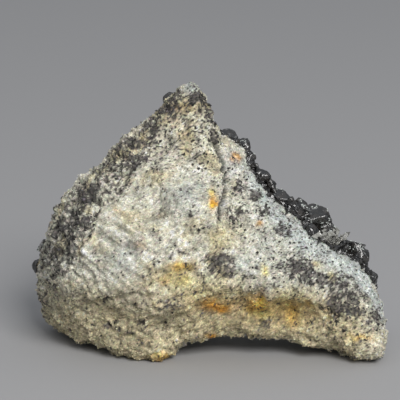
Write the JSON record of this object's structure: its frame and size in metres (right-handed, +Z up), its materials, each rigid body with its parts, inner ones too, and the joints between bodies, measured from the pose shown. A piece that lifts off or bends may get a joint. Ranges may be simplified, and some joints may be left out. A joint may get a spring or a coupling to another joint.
{
  "type": "sphalerite specimen",
  "caption": "Peaked lump of pale granular rock with a crust of dark lustrous sphalerite crystals over its far slope and a small spray of clear quartz, standing on its own broken feet.",
  "frame": {"origin": "middle of the bounding box at its base, in the plane that the feet stand on", "axes": "+X to the right and +Z up as seen in the picture, +Y away from the viewer"},
  "size_m": [0.1106, 0.0614, 0.0816],
  "materials": {
    "rock": "rough, sugary, speckled",
    "sphalerite": "resinous, nearly black",
    "quartz": "clear, slightly milky"
  },
  "bodies": {
    "root": {"matrix": "rock", "sphalerite_crust": "sphalerite", "lower_row_crystals": "sphalerite", "middle_row_crystals": "sphalerite", "upper_row_crystals": "sphalerite", "peak_crystal": "sphalerite", "left_upper_crystal": "sphalerite", "left_lower_crystal": "sphalerite", "right_edge_crystal": "sphalerite", "front_upper_crystal": "sphalerite", "quartz_spray": "quartz"}
  },
  "joints": []
}
